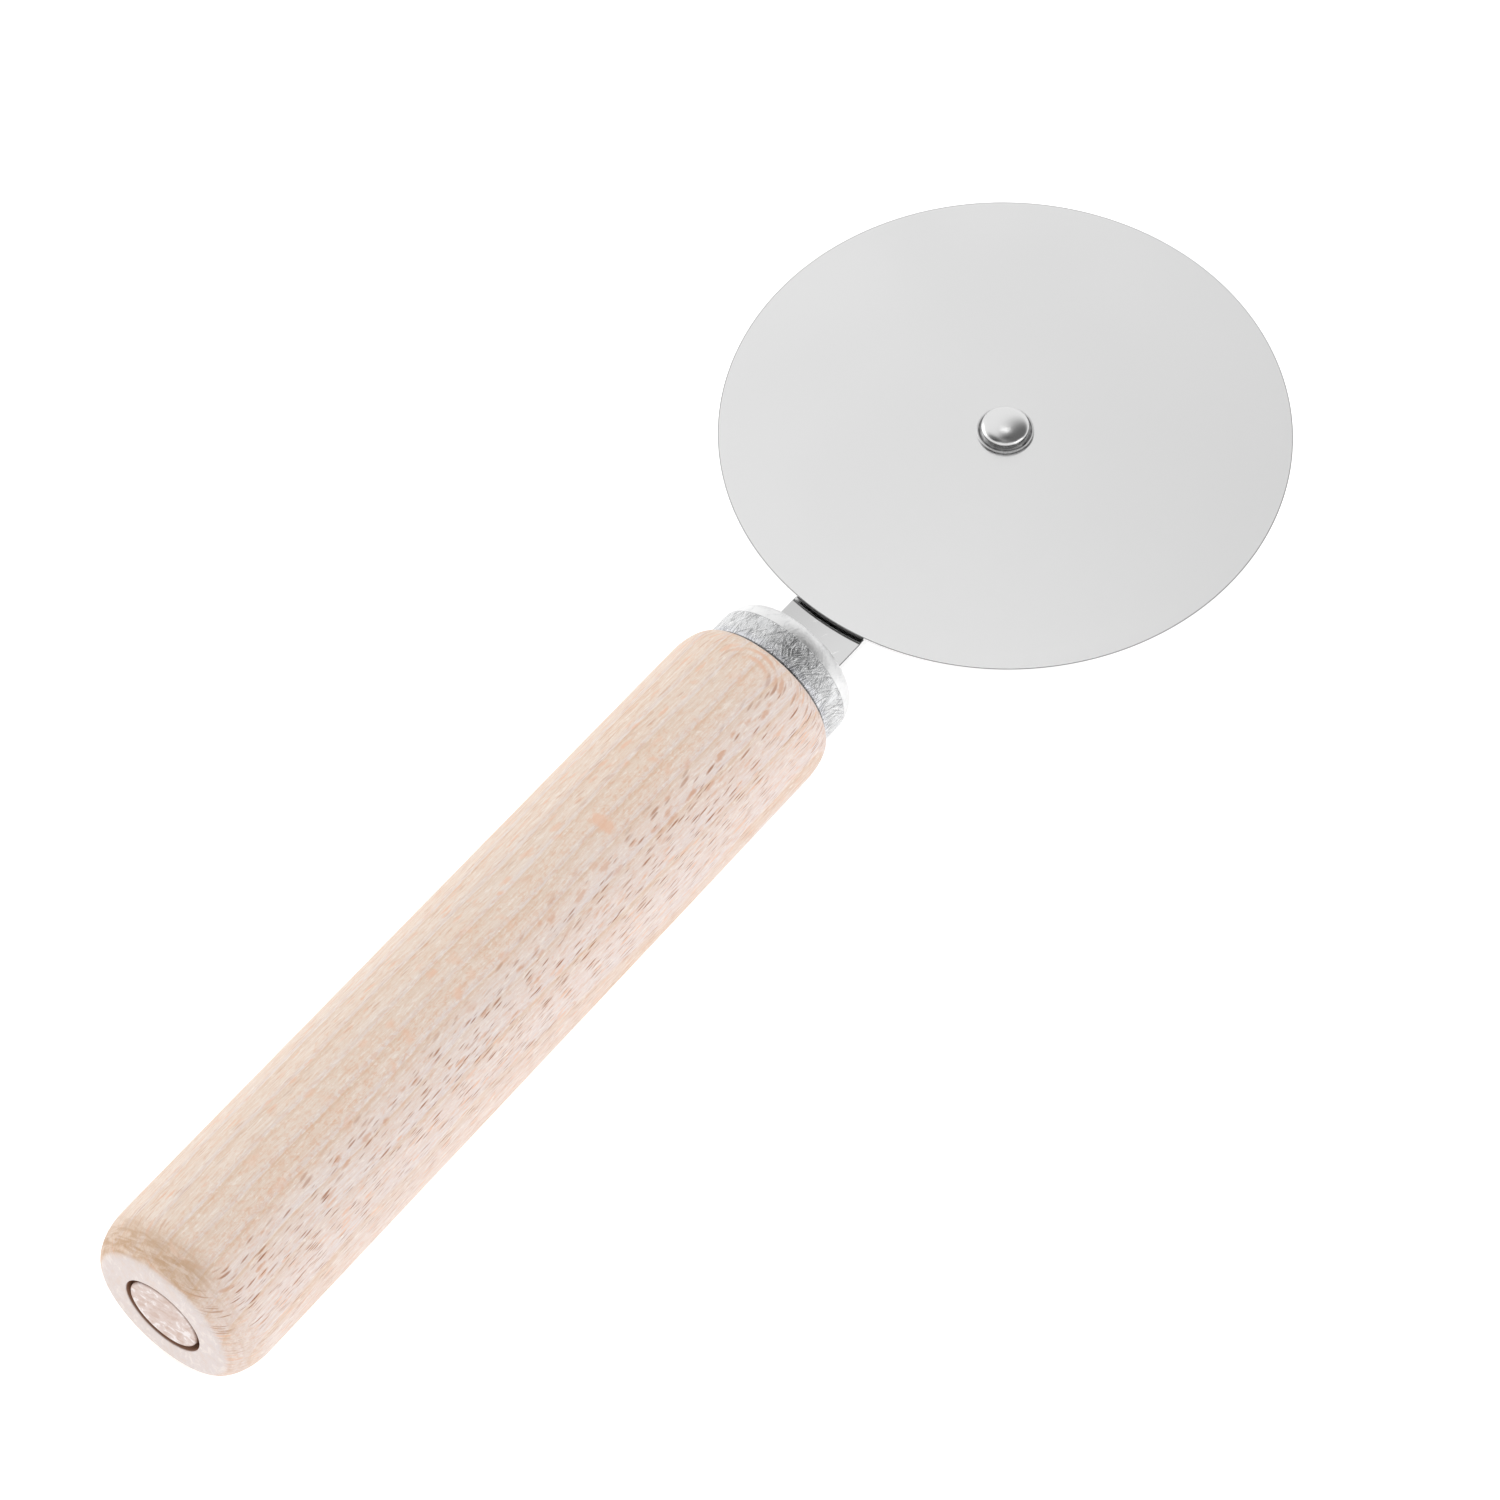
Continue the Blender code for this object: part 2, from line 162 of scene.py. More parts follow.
def newMaterial(name):
    material = bpy.data.materials.new(name)
    material.use_nodes = True
    tree = material.node_tree
    tree.nodes.clear()
    shader = addNode(tree, "ShaderNodeBsdfPrincipled")
    output = addNode(tree, "ShaderNodeOutputMaterial")
    tree.links.new(shader.outputs[0], output.inputs[0])
    coordinate = addNode(tree, "ShaderNodeTexCoord").outputs["Object"]
    return material, tree, shader, coordinate


def addBump(tree, shader, layers):
    # layers are (height, depth in metres), from the broadest to the finest
    last = None
    for height, depth in layers:
        bump = addNode(tree, "ShaderNodeBump", {"Height": height, "Distance": depth, "Strength": 1.0})
        if last is not None:
            tree.links.new(last, bump.inputs["Normal"])
        last = bump.outputs[0]
    tree.links.new(last, shader.inputs["Normal"])


# beech, one block of wood for the grip and another for the plug
beech = {
    "cream": (0.81, 0.695, 0.605),
    "pink": (0.78, 0.69, 0.665),
    "warm": (0.80, 0.655, 0.54),
    "light": (0.90, 0.82, 0.75),
    "ringLine": (0.70, 0.52, 0.39),
    "fleck": (0.72, 0.40, 0.24),
    "softFleck": (0.82, 0.52, 0.37),
    "dash": (0.33, 0.12, 0.05),
    "endGrain": (0.74, 0.665, 0.655),
    "cutWood": (0.69, 0.62, 0.605),
    "tan": (0.52, 0.335, 0.205),
    # painted shade on the wall of the hole at the butt
    "recessShade": (0.24, 0.11, 0.06),
    # painted shade where the wood meets the ferrule
    "joint": (0.06, 0.045, 0.04),
    "tilt": 8.0,  # the ray planes lean by this about the grip's axis
    "slope": -0.035,  # below zero the rays rise toward the ferrule, by this share of the length
    "ringWidth": 3.1 * mm,
    "rough": (0.50, 0.66),
    "wander": (34 * mm, 9 * mm, 9 * mm),  # size of the slow wander of the fibres
    "wanderReach": (0.0, 2.2 * mm, 0.6 * mm),
    "curl": (2.6 * mm, 1.9 * mm, 1.9 * mm),  # size of the ripples in the widest rays
    "curlReach": 0.22 * mm,
    "fleckRays": (4.6 * mm, 0.60 * mm),  # length along the grip, thickness
    "broadRays": (5.2 * mm, 0.34 * mm),
    "fineRays": (4.2 * mm, 0.24 * mm),
    "fibre": (16 * mm, 0.30 * mm, 0.30 * mm),
    "lines": (14 * mm, 0.26 * mm, 0.6 * mm),
    "flakes": (1.5 * mm, 0.32 * mm, 0.32 * mm),
    "pores": (1.5 * mm, 0.16 * mm, 0.16 * mm),
    "patches": (22 * mm, 5 * mm, 6 * mm),
    "silk": (0.8 * mm, 0.6 * mm, 0.4 * mm),
    # heights above and below the axis between which a zone of the surface starts
    "faceUp": (12.1 * mm, 13.0 * mm),
    "dashes": (12.85 * mm, 11.8 * mm),
    "boldTop": (12.9 * mm, 12.3 * mm),
    "boldEnd": (9.0 * mm, 11.4 * mm),
    "pinkSide": (-10 * mm, 4 * mm),
    # distances from the butt
    "rounding": (6.5 * mm, 2.0 * mm),
    "roundingEdge": (0.05 * mm, 0.55 * mm),
    "cutEnd": (0.60 * mm, 0.03 * mm),
}


def rays(tree, along, height, length, thickness, reach, share, seed, power=1.0, ragged=None):
    # flat ribbons that run right across the wood: dashes on the sides, where they end, and flecks on
    # the top, where the surface runs along them
    inputs = {
        "X": calc(tree, "DIVIDE", along, length),
        "Y": calc(tree, "DIVIDE", height, thickness),
        "Z": seed,
    }
    spots = addNode(
        tree, "ShaderNodeTexVoronoi",
        {"Vector": addNode(tree, "ShaderNodeCombineXYZ", inputs).outputs[0], "Scale": 1.0},
        voronoi_dimensions="2D",
    )
    chance = addNode(tree, "ShaderNodeSeparateColor", {"Color": spots.outputs["Color"]})
    edge = ramp(tree, chance.outputs["Green"], 0.0, 1.0, reach * 0.50, reach, smooth=False)
    if ragged is not None:
        edge = product(tree, edge, ragged)
    near = calc(tree, "SUBTRACT", edge, spots.outputs["Distance"])
    body = ramp(tree, near, 0.0, reach * 0.62)
    present = calc(tree, "LESS_THAN", chance.outputs["Red"], share)
    weight = ramp(tree, chance.outputs["Blue"], 0.0, 1.0, 0.3, 1.0, smooth=False)
    return product(tree, body, present, calc(tree, "POWER", weight, power))


def wanderingGrain(tree, centred):
    # the fibres' own coordinates, which wander slowly through the block
    wander = clouds(tree, centred, beech["wander"], 1.0)
    shift = vectorMath(tree, "SUBTRACT", wander.outputs["Color"], (0.5, 0.5, 0.5))
    shift = vectorMath(tree, "MULTIPLY", shift, beech["wanderReach"])
    return vectorMath(tree, "ADD", centred, shift)


def beechMaterial():
    material, tree, shader, coordinate = newMaterial("beechWood")
    centred = stretched(tree, coordinate, (1, 1, 1), (beech["tilt"], 0, 0), (0, 0, axisZ))
    grain = wanderingGrain(tree, centred)
    parts = addNode(tree, "ShaderNodeSeparateXYZ", {0: grain})
    plain = addNode(tree, "ShaderNodeSeparateXYZ", {0: centred})
    # the height above or below the axis tells which way the surface faces
    across = calc(tree, "ABSOLUTE", plain.outputs["Z"])
    sideways = ramp(tree, across, *beech["dashes"])
    facing = ramp(tree, across, *beech["faceUp"])
    lower = ramp(tree, plain.outputs["Y"], *beech["pinkSide"], 1.0, 0.0)
    # three families of rays, from the widest to the finest
    fray = clouds(tree, grain, (0.8 * mm, 0.9 * mm, 0.5 * mm), 2.0).outputs[0]
    ragged = ramp(tree, fray, 0.3, 0.7, 0.72, 1.2, smooth=False)
    along = parts.outputs["X"]
    leaning = scaleAndAdd(tree, along, beech["slope"], parts.outputs["Z"])
    curl = clouds(tree, grain, beech["curl"], 2.0, 0.55).outputs[0]
    height = scaleAndAdd(tree, curl, beech["curlReach"], leaning)
    fleckShare = ramp(tree, plain.outputs["X"], buttX, ferruleLow.x, 0.45, 0.95, smooth=False)
    wide = rays(tree, along, height, *beech["fleckRays"], 0.38, fleckShare, 5.0, 1.0, ragged)
    main = rays(tree, along, leaning, *beech["broadRays"], 0.32, 0.50, 11.0)
    fine = rays(tree, along, leaning, *beech["fineRays"], 0.30, 0.52, 27.0, 0.8)
    # dashes are dark where the rays end on the side, and boldest just below the top
    edgeFade = ramp(tree, across, 0.0, 8.0 * mm, 0.45, 1.0, smooth=False)
    lowerShare = ramp(tree, lower, 0.0, 1.0, 0.25, 1.0, smooth=False)
    dashes = product(tree, calc(tree, "MAXIMUM", main, fine), sideways, lowerShare, edgeFade)
    boldTop = ramp(tree, across, *beech["boldTop"])
    bold = product(tree, boldTop, ramp(tree, across, *beech["boldEnd"]), lower)
    boldDashes = product(tree, calc(tree, "MAXIMUM", product(tree, wide, 0.45), main), bold)
    dashes = calc(tree, "MAXIMUM", dashes, boldDashes)
    # growth rings: sheets that stand upright along the grip
    ringAge = calc(tree, "FRACT", calc(tree, "DIVIDE", parts.outputs["Y"], beech["ringWidth"]))
    lateWood = ramp(tree, ringAge, 0.25, 0.96)
    ringEdge = product(tree, ramp(tree, ringAge, 0.78, 0.95), ramp(tree, ringAge, 1.0, 0.955))
    earlyWood = product(tree, ramp(tree, ringAge, 0.0, 0.03), ramp(tree, ringAge, 0.35, 0.05))
    # fibres and pores
    fibre = clouds(tree, grain, beech["fibre"], 3.0, 0.6).outputs[0]
    lines = clouds(tree, grain, beech["lines"], 3.0, 0.65).outputs[0]
    flakes = clouds(tree, grain, beech["flakes"], 4.0, 0.7, 0.5).outputs[0]
    pores = marks(tree, grain, beech["pores"], 0.30, 0.55)
    patches = clouds(tree, grain, beech["patches"], 2.0).outputs[0]
    silk = clouds(tree, grain, beech["silk"], 3.0, 0.65, 0.5).outputs[0]
    # colour
    tint = blendColors(tree, lower, beech["cream"], beech["pink"])
    tint = blendColors(tree, product(tree, facing, 0.34), tint, beech["warm"])
    patchShare = ramp(tree, patches, 0.35, 0.65, 0.0, 0.16)
    patchy = blendColors(tree, patchShare, tint, beech["fleck"], "SOFT_LIGHT")
    ringed = blendColors(tree, product(tree, lateWood, 0.20), patchy, beech["ringLine"])
    ringStrength = ramp(tree, patches, 0.35, 0.6, 0.28, 0.66)
    ringed = blendColors(tree, product(tree, ringEdge, ringStrength), ringed, beech["ringLine"])
    ringed = blendColors(tree, product(tree, earlyWood, 0.58), ringed, beech["endGrain"])
    fibred = blendColors(tree, ramp(tree, fibre, 0.38, 0.70, 0.0, 0.34), ringed, beech["ringLine"])
    fibred = blendColors(tree, ramp(tree, lines, 0.50, 0.68, 0.0, 0.26), fibred, beech["ringLine"])
    fibred = blendColors(tree, ramp(tree, lines, 0.48, 0.32, 0.0, 0.34), fibred, beech["light"])
    fibred = blendColors(tree, ramp(tree, flakes, 0.52, 0.66, 0.0, 0.36), fibred, beech["fleck"])
    fibred = blendColors(tree, ramp(tree, flakes, 0.47, 0.33, 0.0, 0.60), fibred, beech["light"])
    silkShare = product(
        tree, ramp(tree, silk, 0.47, 0.64), ramp(tree, facing, 0.0, 1.0, 0.12, 0.40, smooth=False),
        ramp(tree, patches, 0.3, 0.6, 0.35, 1.0),
    )
    silky = blendColors(tree, silkShare, fibred, beech["fleck"])
    flecked = blendColors(tree, product(tree, wide, 0.80), silky, beech["softFleck"])
    flecked = blendColors(tree, product(tree, main, 0.30), flecked, beech["fleck"])
    dashed = blendColors(tree, product(tree, dashes, 0.94), flecked, beech["dash"])
    pored = blendColors(tree, product(tree, pores, 0.10), dashed, beech["dash"])
    # the rounding at the butt cuts the fibres and is darker, the flat ring is pale
    fromButt = calc(tree, "SUBTRACT", plain.outputs["X"], buttX)
    rounding = product(
        tree, ramp(tree, fromButt, *beech["rounding"]), ramp(tree, fromButt, *beech["roundingEdge"]),
        ramp(tree, lower, 0.35, 1.0, 1.0, 0.35),
    )
    arcs = clouds(tree, centred, (0.75 * mm, 3.6 * mm, 3.6 * mm), 4.0, 0.65, 0.6).outputs[0]
    tanShare = product(tree, rounding, ramp(tree, arcs, 0.36, 0.64, 0.36, 0.92))
    tanned = blendColors(tree, tanShare, pored, beech["tan"])
    cutEnd = ramp(tree, fromButt, *beech["cutEnd"], 0.0, 0.85)
    ended = blendColors(tree, cutEnd, tanned, beech["cutWood"])
    mottle = clouds(tree, centred, (3 * mm, 1.2 * mm, 1.9 * mm), 4.0, 0.62, 0.4).outputs[0]
    darkMottle = product(tree, cutEnd, ramp(tree, mottle, 0.50, 0.66, 0.0, 0.26))
    ended = blendColors(tree, darkMottle, ended, beech["ringLine"])
    lightMottle = product(tree, cutEnd, ramp(tree, mottle, 0.47, 0.33, 0.0, 0.50))
    ended = blendColors(tree, lightMottle, ended, beech["light"])
    # painted shade on the wall of the hole at the butt, and a dark line of painted shade where the ferrule
    # starts
    offAxis = distanceFrom(tree, centred, (0, 1, 1))
    holeWallShade = product(
        tree, ramp(tree, offAxis, plugHole + 0.14 * mm, plugHole + 0.02 * mm),
        ramp(tree, fromButt, 0.02 * mm, 0.25 * mm, 0.0, 0.92),
    )
    ended = blendColors(tree, holeWallShade, ended, beech["recessShade"])
    # painted shade: the wood goes near black at the gap to the ferrule and inside it
    toFerrule = calc(tree, "SUBTRACT", ferruleLow.x - jointGap, plain.outputs["X"])
    final = blendColors(tree, ramp(tree, toFerrule, 0.075 * mm, 0.02 * mm, 0.0, 0.9), ended, beech["joint"])
    tree.links.new(final, shader.inputs["Base Color"])
    rough = ramp(tree, fibre, 0.3, 0.7, *beech["rough"])
    tree.links.new(rough, shader.inputs["Roughness"])
    shader.inputs["Specular IOR Level"].default_value = 0.3
    sunk = calc(tree, "SUBTRACT", 1.0, calc(tree, "MAXIMUM", dashes, product(tree, pores, 0.5)))
    addBump(tree, shader, [
        (patches, 0.25 * mm),
        (flakes, 0.05 * mm),
        (fibre, 0.04 * mm),
        (sunk, 0.02 * mm),
    ])
    return material


plug = {
    "pale": (0.68, 0.57, 0.53),
    "line": (0.52, 0.35, 0.27),
    "white": (0.86, 0.80, 0.79),
    "tilt": 62.0,
    "tip": 5.62 * mm,
    "taper": 4.0 * mm,
    "edge": 0.22 * mm,
    "tipShift": 0.14 * mm,
    # painted shade where the plug sits down in the hole
    "recessShade": (0.24, 0.11, 0.06),
    "rough": (0.60, 0.78),
}


def plugMaterial():
    material, tree, shader, coordinate = newMaterial("beechEndGrain")
    centred = stretched(tree, coordinate, (1, 1, 1), (plug["tilt"], 0, 0), (0, 0, axisZ))
    blotches = clouds(tree, centred, (6 * mm, 1.3 * mm, 1.9 * mm), 4.0, 0.6, 0.6).outputs[0]
    broad = clouds(tree, centred, (8 * mm, 4 * mm, 4 * mm), 2.0).outputs[0]
    flecks = marks(tree, centred, (4 * mm, 3.2 * mm, 0.30 * mm), 0.34, 0.5)
    pores = marks(tree, centred, (3 * mm, 0.16 * mm, 0.16 * mm), 0.34, 0.6)
    fibre = clouds(tree, centred, (9 * mm, 0.3 * mm, 0.3 * mm), 2.0).outputs[0]
    color = blendColors(tree, ramp(tree, broad, 0.3, 0.7, 0.0, 0.2), plug["pale"], plug["line"])
    color = blendColors(tree, ramp(tree, blotches, 0.50, 0.64, 0.0, 0.48), color, plug["line"])
    color = blendColors(tree, ramp(tree, blotches, 0.48, 0.36, 0.0, 0.85), color, plug["white"])
    color = blendColors(tree, product(tree, flecks, 0.22), color, plug["line"])
    color = blendColors(tree, product(tree, pores, 0.22), color, plug["line"])
    fromButt = stretched(tree, coordinate, (1, 1, 1), place=(buttX, 0, 0))
    side = addNode(tree, "ShaderNodeSeparateXYZ", {0: fromButt})
    offAxis = distanceFrom(tree, centred, (0, 1, 1))
    # painted shade: darker where the plug sits down in the hole, and in a ring at its rounded tip
    recessShadeShare = calc(
        tree, "MAXIMUM",
        ramp(tree, side.outputs["X"], 0.20 * mm, 0.45 * mm, 0.0, 0.92),
        ramp(tree, offAxis, plug["tip"] - 0.30 * mm, plug["tip"] + 0.05 * mm, 0.0, 0.35),
    )
    color = blendColors(tree, recessShadeShare, color, plug["recessShade"])
    tree.links.new(color, shader.inputs["Base Color"])
    tree.links.new(ramp(tree, fibre, 0.3, 0.7, *plug["rough"]), shader.inputs["Roughness"])
    shader.inputs["Specular IOR Level"].default_value = 0.25
    sunk = calc(tree, "SUBTRACT", 1.0, calc(tree, "MAXIMUM", flecks, pores))
    addBump(tree, shader, [(blotches, 0.10 * mm), (sunk, 0.02 * mm)])
    return material


# metals: a shared recipe, and what differs in each finish
wheelSteel = {
    "color": (0.86, 0.86, 0.86),
    "haze": 0.985,
    "rough": (0.19, 0.22),
    # radii between which it turns smoother toward the rim, and how smooth
    "edge": (39.80 * mm, 39.92 * mm, 0.09),
    # the dark line along both edges: its radii and its colour
    "rimDarkLine": ((39.86 * mm, 39.93 * mm, 39.998 * mm, 39.985 * mm), (0.30, 0.30, 0.30)),
    "lines": (0.05 * mm, 0.0015 * mm),  # spacing and depth of the turning lines
    "scratch": 0.0012 * mm,
}
armSteel = {
    "color": (0.84, 0.84, 0.84),
    "haze": 0.96,
    "rough": (0.06, 0.10),
    "lines": (0.06 * mm, 0.0010 * mm),
    "scratch": 0.0015 * mm,
    "shaded": (6.5 * mm, -6.5 * mm, 0.80),  # from the second side to the first it darkens to this share
}
rivetSteel = {
    "color": (0.80, 0.80, 0.80),
    "haze": 0.94,
    "rough": (0.20, 0.26),
    "lines": (0.08 * mm, 0.0008 * mm),
    "scratch": 0.001 * mm,
}
washerSteel = {
    "color": (0.68, 0.68, 0.68),
    "haze": 0.92,
    "rough": (0.20, 0.30),
    # painted shade under the rivet's head: its radii and its colour
    "contactShade": ((3.0 * mm, 3.70 * mm, 3.84 * mm), (0.05, 0.05, 0.052)),
    "lines": (0.07 * mm, 0.002 * mm),
    "scratch": 0.002 * mm,
}
zincPlate = {
    "color": (0.62, 0.64, 0.68),
    "haze": 0.85,
    "rough": (0.26, 0.42),
    "lines": (0.12 * mm, 0.002 * mm),
    "scratch": 0.002 * mm,
}


def metalMaterial(name, look, pattern):
    # pattern is the way the polishing lines run: round the pivot, or along the handle
    material, tree, shader, coordinate = newMaterial(name)
    spacing, depth = look["lines"]
    if pattern == "round":
        about = stretched(tree, coordinate, (1, 1, 1), place=(pivotX, 0, 0))
        radius = distanceFrom(tree, about, (1, 1, 0))
        lines = addNode(
            tree, "ShaderNodeTexNoise",
            {"W": calc(tree, "DIVIDE", radius, spacing), "Scale": 1.0, "Detail": 2.0},
            noise_dimensions="1D",
        ).outputs[0]
    else:
        radius = None
        lines = clouds(tree, coordinate, (14 * mm, spacing, spacing), 2.0).outputs[0]
    haze = clouds(tree, coordinate, (26 * mm, 26 * mm, 26 * mm), 1.0).outputs[0]
    scratches = None
    for step, angle in enumerate((12, 57, 104, 151)):
        layer = marks(
            tree, coordinate, (6.5 * mm, 0.09 * mm, 5 * mm), 0.30, 0.10,
            turn=(0, 0, angle), place=(step * 3 * mm, step * 1.7 * mm, 0),
        )
        scratches = layer if scratches is None else calc(tree, "MAXIMUM", scratches, layer)
    dark = [value * look["haze"] for value in look["color"]]
    color = blendColors(tree, ramp(tree, haze, 0.30, 0.70), look["color"], dark)
    color = blendColors(tree, product(tree, scratches, 0.25), color, dark)
    # a thin dark line along both edges of the disc's rim
    if "rimDarkLine" in look:
        (start, full, end, fade), rimDarkLine = look["rimDarkLine"]
        edgeLine = product(tree, ramp(tree, radius, start, full), ramp(tree, radius, end, fade))
        color = blendColors(tree, edgeLine, color, rimDarkLine)
    # painted shade: a dark ring in patches under the rivet's head
    if "contactShade" in look:
        (start, edge, end), contactShade = look["contactShade"]
        underHeadShade = product(tree, ramp(tree, radius, start, edge), ramp(tree, radius, end, edge))
        spread = clouds(tree, coordinate, (0.7 * mm, 0.7 * mm, 0.7 * mm), 2.0).outputs[0]
        patchy = ramp(tree, spread, 0.3, 0.7, 0.7, 0.98)
        color = blendColors(tree, product(tree, underHeadShade, patchy), color, contactShade)
    if "shaded" in look:
        darkSide, lightSide, share = look["shaded"]
        width = addNode(tree, "ShaderNodeSeparateXYZ", {0: coordinate}).outputs["Y"]
        toward = ramp(tree, width, lightSide, darkSide)
        color = blendColors(tree, toward, color, [value * share for value in look["color"]])
    tree.links.new(color, shader.inputs["Base Color"])
    shader.inputs["Metallic"].default_value = 1.0
    rough = scaleAndAdd(tree, lines, 0.03, ramp(tree, haze, 0.25, 0.75, *look["rough"]))
    if "edge" in look:
        start, end, smoothness = look["edge"]
        rough = addNode(
            tree, "ShaderNodeMix", {0: ramp(tree, radius, start, end), 2: rough, 3: smoothness}
        ).outputs[0]
    tree.links.new(rough, shader.inputs["Roughness"])
    addBump(tree, shader, [(lines, depth), (scratches, look["scratch"])])
    return material


ferrule = {
    "color": (0.76, 0.765, 0.77),
    "shade": (0.46, 0.465, 0.47),
    "groove": (0.26, 0.26, 0.265),
    "cool": (0.76, 0.77, 0.84),
    "bright": (0.88, 0.88, 0.88),
    "shoulderColor": (0.85, 0.85, 0.85),
    # painted shade where the cap meets the wood
    "contactShade": (0.10, 0.095, 0.09),
    "rough": (0.20, 0.34),
    "stroke": (3.2 * mm, 0.24 * mm, 1.0 * mm),  # size of a scuff along and around the cap
    # scuffs: the direction of each family in degrees, and the width of its patches
    "strokes": ((8, 1.9 * mm), (-16, 2.6 * mm), (30, 1.5 * mm), (-42, 2.2 * mm)),
    "side": 4.5 * mm,
    "shoulder": 1.75 * mm,
    "shoulderStart": 14.0,  # degrees that the shoulder leans where it leaves the side
    "wall": 1.0 * mm,
    "frontWall": 1.2 * mm,
    "fillet": 1.2 * mm,
    "slotGap": 0.2 * mm,
    "lip": 0.08 * mm,  # rounding of the open end
}


def ferruleMaterial():
    material, tree, shader, coordinate = newMaterial("ferruleMetal")
    fromWood = stretched(tree, coordinate, (1, 1, 1), place=(ferruleLow.x, 0, 0))
    place = addNode(tree, "ShaderNodeSeparateXYZ", {0: fromWood})
    onSide = ramp(tree, place.outputs["X"], ferrule["side"] * 1.03, ferrule["side"] * 0.99)
    warp = clouds(tree, coordinate, (2.6 * mm, 2.2 * mm, 2.2 * mm), 3.0, 0.6, 0.8)
    shift = vectorMath(tree, "MULTIPLY", warp.outputs["Color"], (0.6 * mm, 0.35 * mm, 0.35 * mm))
    bent = vectorMath(tree, "ADD", coordinate, shift)
    # the side laid out flat, along and around
    fromAxis = stretched(tree, bent, (1, 1, 1), place=(0, 0, axisZ))
    offAxis = addNode(tree, "ShaderNodeSeparateXYZ", {0: fromAxis})
    around = calc(tree, "ARCTAN2", offAxis.outputs["Y"], offAxis.outputs["Z"])
    around = product(tree, around, ferruleHigh.y)
    laidOut = addNode(tree, "ShaderNodeCombineXYZ", {"X": offAxis.outputs["X"], "Y": around}).outputs[0]
    # scuffs in several directions, each in its own patches
    scuffs = None
    grooves = None
    for swing, patch in ferrule["strokes"]:
        strokes = clouds(tree, laidOut, ferrule["stroke"], 1.0, 0.4, turn=(0, 0, swing)).outputs[0]
        patchy = clouds(tree, coordinate, (patch, patch, patch), 1.0, turn=(swing, 0, swing)).outputs[0]
        area = ramp(tree, patchy, 0.42, 0.58)
        layer = product(tree, ramp(tree, strokes, 0.55, 0.68), area)
        scuffs = layer if scuffs is None else calc(tree, "MAXIMUM", scuffs, layer)
        layer = product(tree, ramp(tree, strokes, 0.43, 0.32), area)
        grooves = layer if grooves is None else calc(tree, "MAXIMUM", grooves, layer)
    streaks = clouds(tree, bent, (5 * mm, 0.22 * mm, 0.22 * mm), 3.0, 0.65).outputs[0]
    dents = clouds(tree, coordinate, (1.5 * mm, 1.1 * mm, 1.1 * mm), 2.0, 0.5, 0.6).outputs[0]
    haze = warp.outputs[0]
    color = blendColors(tree, ramp(tree, haze, 0.35, 0.65, 0.0, 0.5), ferrule["color"], ferrule["shade"])
    color = blendColors(tree, ramp(tree, streaks, 0.50, 0.72, 0.0, 0.5), color, ferrule["shade"])
    nearWood = ramp(tree, place.outputs["X"], 1.8 * mm, 0.2 * mm, 0.0, 0.5)
    color = blendColors(tree, nearWood, color, ferrule["cool"])
    color = blendColors(tree, product(tree, scuffs, 0.85), color, ferrule["bright"])
    color = blendColors(tree, product(tree, grooves, 0.62), color, ferrule["groove"])
    shoulder = product(tree, calc(tree, "SUBTRACT", 1.0, onSide), ramp(tree, dents, 0.42, 0.68, 1.0, 0.62))
    color = blendColors(tree, shoulder, color, ferrule["shoulderColor"])
    # painted shade: a thin darker line along the edge where the side meets the shoulder
    creaseShade = product(
        tree, ramp(tree, place.outputs["X"], ferrule["side"] - 0.14 * mm, ferrule["side"]),
        ramp(tree, place.outputs["X"], ferrule["side"] + 0.14 * mm, ferrule["side"], 0.0, 0.5),
    )
    color = blendColors(tree, creaseShade, color, ferrule["shade"])
    # painted shade: a dark strip where the cap meets the wood
    capEdgeShade = ramp(tree, place.outputs["X"], 0.42 * mm, 0.26 * mm, 0.0, 0.85)
    color = blendColors(tree, capEdgeShade, color, ferrule["contactShade"])
    tree.links.new(color, shader.inputs["Base Color"])
    shader.inputs["Metallic"].default_value = 1.0
    rough = ramp(tree, streaks, 0.3, 0.7, *ferrule["rough"])
    rough = addNode(tree, "ShaderNodeMix", {0: onSide, 2: 0.40, 3: rough}).outputs[0]
    tree.links.new(rough, shader.inputs["Roughness"])
    cutShare = ramp(tree, onSide, 0.0, 1.0, 0.08, 1.0, smooth=False)
    cut = product(tree, calc(tree, "SUBTRACT", scuffs, grooves), cutShare)
    ripple = product(tree, streaks, ramp(tree, onSide, 0.0, 1.0, 0.15, 1.0, smooth=False))
    addBump(tree, shader, [(dents, 0.07 * mm), (ripple, 0.045 * mm), (cut, 0.06 * mm)])
    return material


print("materials")
beechWood = beechMaterial()
endGrain = plugMaterial()
ferruleMetal = ferruleMaterial()
wheelMetal = metalMaterial("wheelSteel", wheelSteel, "round")
armMetal = metalMaterial("armSteel", armSteel, "along")
rivetMetal = metalMaterial("rivetSteel", rivetSteel, "round")
washerMetal = metalMaterial("washerSteel", washerSteel, "round")
zincMetal = metalMaterial("zincPlate", zincPlate, "along")


# Geometry Nodes that turn a profile into a solid

